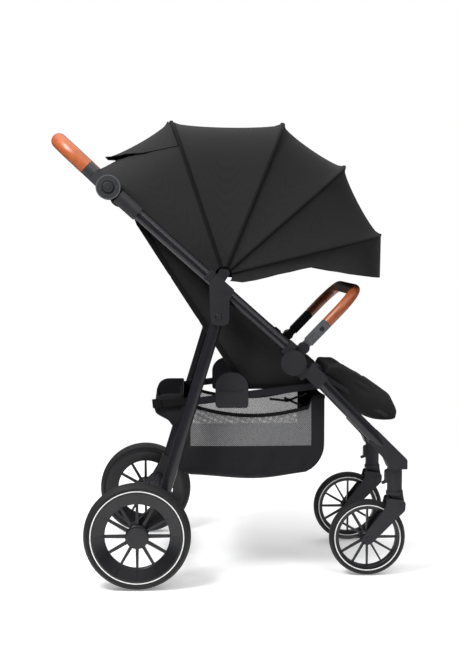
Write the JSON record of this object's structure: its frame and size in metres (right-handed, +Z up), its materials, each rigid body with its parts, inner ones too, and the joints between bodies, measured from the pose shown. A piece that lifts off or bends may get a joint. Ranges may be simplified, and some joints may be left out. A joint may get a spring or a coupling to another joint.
{
  "type": "baby stroller",
  "caption": "Folding stroller with a scalloped canopy, reclining seat, leg rest, bumper bar, tilting handle, mesh basket, large rear wheels and swivelling front casters.",
  "frame": {"origin": "centre of the bounding box on the floor, midway between the wheels", "axes": "+X forward, +Y to the stroller's left, +Z up"},
  "size_m": [0.8431, 0.6, 1.0987],
  "materials": {
    "frame_tube": "satin black powder coat",
    "frame_plastic": "fine-grained matte",
    "rib_plastic": "matte",
    "clip_plastic": "satin grey",
    "board_plastic": "matte",
    "seat_fabric": "woven polyester",
    "canopy_fabric": "woven polyester",
    "basket_fabric": "woven polyester with mesh sides",
    "webbing": "webbing",
    "leather": "semi-gloss stitched faux leather",
    "tyre": "matte foam-filled rubber",
    "rim_plastic": "satin"
  },
  "bodies": {
    "chassis": {"main_tube_left": "frame_tube", "main_tube_right": "frame_tube", "hub_socket_left": "frame_plastic", "hub_socket_right": "frame_plastic", "leg_bracket_left": "frame_plastic", "leg_bracket_right": "frame_plastic", "fold_knuckle_left": "frame_plastic", "fold_knuckle_right": "frame_plastic", "canopy_mounts": "frame_plastic", "canopy_rib_rear": "rib_plastic", "canopy_fabric": "canopy_fabric", "seat_frame": "board_plastic", "seat_cushion": "seat_fabric", "seat_sides": "seat_fabric", "crotch_buckle": "frame_plastic"},
    "backrest": {"backrest_frame": "board_plastic", "backrest_pad": "seat_fabric", "shoulder_straps": "webbing"},
    "leg_rest": {"leg_rest_board": "board_plastic", "leg_rest_pad": "seat_fabric"},
    "handle": {"handle_bar": "frame_tube", "handle_grip": "leather", "hub_cap_left": "frame_plastic", "hub_cap_right": "frame_plastic"},
    "left_hub_button": {"hub_button_left": "frame_plastic"},
    "right_hub_button": {"hub_button_right": "frame_plastic"},
    "second_rib": {"canopy_rib_second": "rib_plastic"},
    "third_rib": {"canopy_rib_third": "rib_plastic"},
    "front_rib": {"canopy_rib_front": "rib_plastic"},
    "bumper": {"bumper_bar": "frame_tube", "bumper_cover": "leather", "bumper_ends": "clip_plastic"},
    "front_legs": {"front_leg_left": "frame_tube", "front_leg_right": "frame_tube", "leg_knuckles": "frame_plastic", "caster_housing_left": "frame_plastic", "caster_housing_right": "frame_plastic", "front_cross_tube": "frame_tube"},
    "rear_legs": {"rear_leg_left": "frame_tube", "rear_leg_right": "frame_tube", "rear_axle_tube": "frame_tube", "axle_housing_left": "frame_plastic", "axle_housing_right": "frame_plastic"},
    "brake": {"brake_pedal": "frame_plastic"},
    "struts": {"side_strut_left": "frame_tube", "side_strut_right": "frame_tube", "strut_arches": "frame_plastic", "basket_fabric": "basket_fabric"},
    "left_caster": {"caster_head_left": "frame_plastic"},
    "left_fork": {"caster_fork_left": "frame_plastic"},
    "left_front_wheel": {"front_tyre_left": "tyre", "front_rim_left": "rim_plastic"},
    "left_rear_wheel": {"rear_tyre_left": "tyre", "rear_rim_left": "rim_plastic"},
    "right_caster": {"caster_head_right": "frame_plastic"},
    "right_fork": {"caster_fork_right": "frame_plastic"},
    "right_front_wheel": {"front_tyre_right": "tyre", "front_rim_right": "rim_plastic"},
    "right_rear_wheel": {"rear_tyre_right": "tyre", "rear_rim_right": "rim_plastic"}
  },
  "joints": [
    {"name": "frame_fold", "type": "hinge", "parent": "chassis", "child": "front_legs", "pos_m": [0.142, 0, 0.524], "axis": [0, 1, 0], "range_deg": [0, 110], "deforming": ["basket_fabric"]},
    {"name": "rear_leg_fold", "type": "hinge", "parent": "chassis", "child": "rear_legs", "pos_m": [-0.032, 0, 0.632], "axis": [0, 1, 0], "range_deg": [0, 57.25]},
    {"name": "strut_fold", "type": "hinge", "parent": "front_legs", "child": "struts", "pos_m": [0.21938, 0, 0.46523], "axis": [0, -1, 0], "range_deg": [0, 84.04]},
    {"name": "handle_tilt", "type": "hinge", "parent": "chassis", "child": "handle", "pos_m": [-0.285, 0, 0.929], "axis": [0, 1, 0], "range_deg": [-45, 50]},
    {"name": "left_button_press", "type": "slide", "parent": "handle", "child": "left_hub_button", "axis": [0, -1, 0], "range_m": [0, 0.004], "stiffness_N_per_m": 400},
    {"name": "right_button_press", "type": "slide", "parent": "handle", "child": "right_hub_button", "axis": [0, 1, 0], "range_m": [0, 0.004], "stiffness_N_per_m": 400},
    {"name": "backrest_recline", "type": "hinge", "parent": "chassis", "child": "backrest", "pos_m": [0.04, 0, 0.474], "axis": [0, 1, 0], "range_deg": [-25, 20]},
    {"name": "leg_rest_tilt", "type": "hinge", "parent": "chassis", "child": "leg_rest", "pos_m": [0.212, 0, 0.5], "axis": [0, 1, 0], "range_deg": [-30, 25]},
    {"name": "canopy_fold", "type": "hinge", "parent": "chassis", "child": "front_rib", "pos_m": [-0.019, 0, 0.727], "axis": [0, -1, 0], "range_deg": [0, 78], "deforming": ["canopy_fabric"]},
    {"name": "third_rib_fold", "type": "hinge", "parent": "chassis", "child": "third_rib", "pos_m": [-0.019, 0, 0.727], "axis": [0, -1, 0], "range_deg": [0, 56.2]},
    {"name": "second_rib_fold", "type": "hinge", "parent": "chassis", "child": "second_rib", "pos_m": [-0.019, 0, 0.727], "axis": [0, -1, 0], "range_deg": [0, 35.2]},
    {"name": "bumper_tilt", "type": "hinge", "parent": "chassis", "child": "bumper", "pos_m": [0.169, 0, 0.556], "axis": [0, -1, 0], "range_deg": [-20, 5]},
    {"name": "brake_press", "type": "hinge", "parent": "rear_legs", "child": "brake", "pos_m": [-0.184, 0, 0.167], "axis": [0, -1, 0], "range_deg": [0, 18]},
    {"name": "left_caster_swivel", "type": "hinge", "parent": "front_legs", "child": "left_caster", "pos_m": [0.395, 0.1725, 0.262], "axis": [0, 0, 1], "continuous": true},
    {"name": "left_fork_spring", "type": "hinge", "parent": "left_caster", "child": "left_fork", "pos_m": [0.408, 0.1725, 0.174], "axis": [0, 1, 0], "range_deg": [0, 6], "stiffness_Nm_per_rad": 30, "springref_deg": -9.17},
    {"name": "left_front_wheel_spin", "type": "hinge", "parent": "left_fork", "child": "left_front_wheel", "pos_m": [0.329, 0.1725, 0.0925], "axis": [0, 1, 0], "continuous": true},
    {"name": "left_rear_wheel_spin", "type": "hinge", "parent": "rear_legs", "child": "left_rear_wheel", "pos_m": [-0.222, 0.279, 0.125], "axis": [0, 1, 0], "continuous": true},
    {"name": "right_caster_swivel", "type": "hinge", "parent": "front_legs", "child": "right_caster", "pos_m": [0.395, -0.1725, 0.262], "axis": [0, 0, 1], "continuous": true},
    {"name": "right_fork_spring", "type": "hinge", "parent": "right_caster", "child": "right_fork", "pos_m": [0.408, -0.1725, 0.174], "axis": [0, 1, 0], "range_deg": [0, 6], "stiffness_Nm_per_rad": 30, "springref_deg": -9.17},
    {"name": "right_front_wheel_spin", "type": "hinge", "parent": "right_fork", "child": "right_front_wheel", "pos_m": [0.329, -0.1725, 0.0925], "axis": [0, 1, 0], "continuous": true},
    {"name": "right_rear_wheel_spin", "type": "hinge", "parent": "rear_legs", "child": "right_rear_wheel", "pos_m": [-0.222, -0.279, 0.125], "axis": [0, 1, 0], "continuous": true}
  ],
  "couplings": [
    {"joint": "rear_leg_fold", "follows": "frame_fold", "ratio": 0.52037},
    {"joint": "strut_fold", "follows": "frame_fold", "ratio": 0.76395},
    {"joint": "third_rib_fold", "follows": "canopy_fold", "ratio": 0.72},
    {"joint": "second_rib_fold", "follows": "canopy_fold", "ratio": 0.45}
  ]
}
